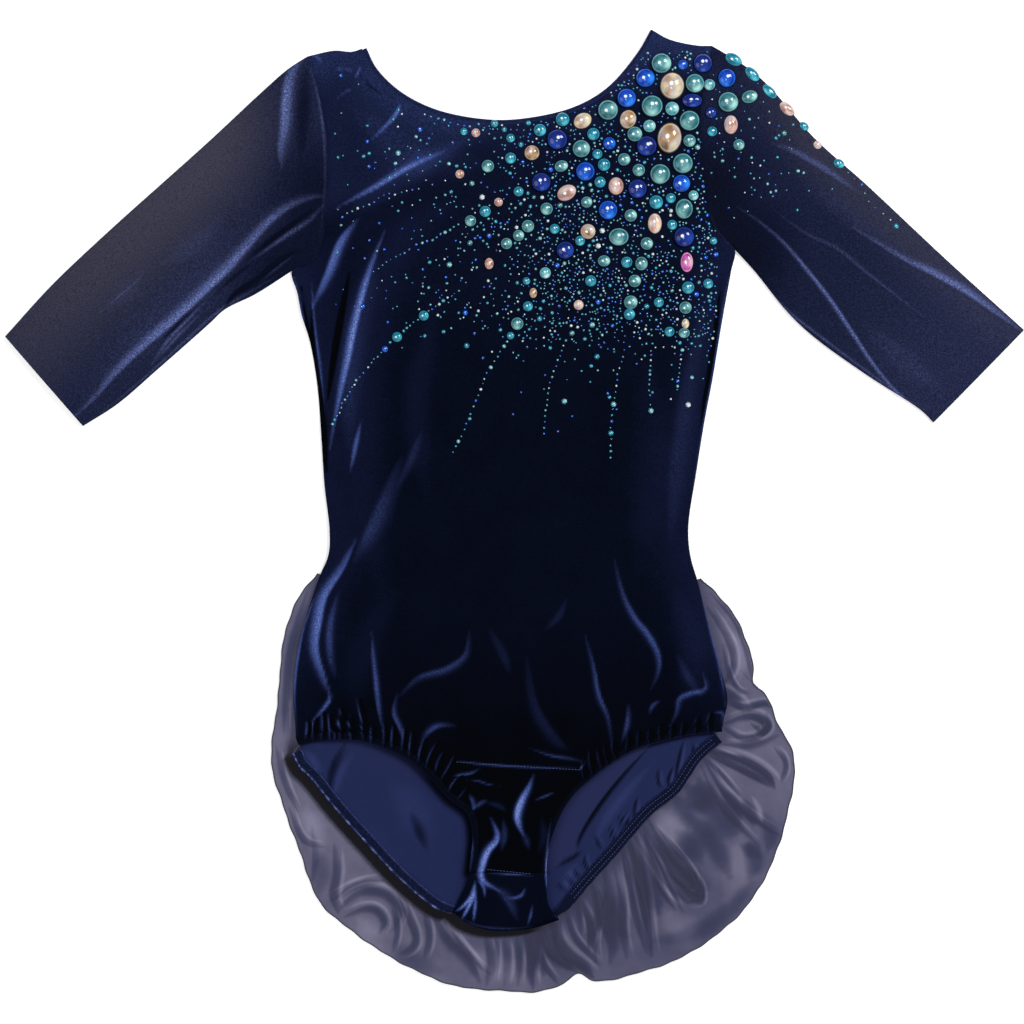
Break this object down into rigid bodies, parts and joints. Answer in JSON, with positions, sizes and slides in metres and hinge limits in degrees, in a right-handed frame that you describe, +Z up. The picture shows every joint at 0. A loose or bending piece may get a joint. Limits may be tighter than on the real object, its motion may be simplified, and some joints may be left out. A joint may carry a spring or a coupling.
{
  "type": "leotard",
  "caption": "Long-bodied velvet leotard laid flat, with elbow-length sleeves, a scoop neck, raised stones on one shoulder and a sheer back skirt.",
  "frame": {"origin": "middle of the laid-out garment's outline, on the table", "axes": "+X runs from cuff to cuff to the wearer's left, +Y runs from the crotch to the neck, +Z up from the table"},
  "size_m": [0.764, 0.7199, 0.0101],
  "materials": {
    "velvet": "stretch velvet, navy pile with a blue-violet sheen",
    "lining": "matt inside of the back panel, dull navy knit",
    "chiffon": "sheer navy chiffon with a rolled hem",
    "elastic": "narrow covered elastic, gathered"
  },
  "bodies": {
    "root": {"front": "velvet", "back": "lining", "gusset": "velvet", "sleeve_left": "velvet", "sleeve_right": "velvet", "skirt": "chiffon", "neck_binding": "velvet", "leg_elastic_front_left": "elastic", "leg_elastic_front_right": "elastic", "leg_elastic_back_left": "elastic", "leg_elastic_back_right": "elastic"}
  },
  "joints": []
}
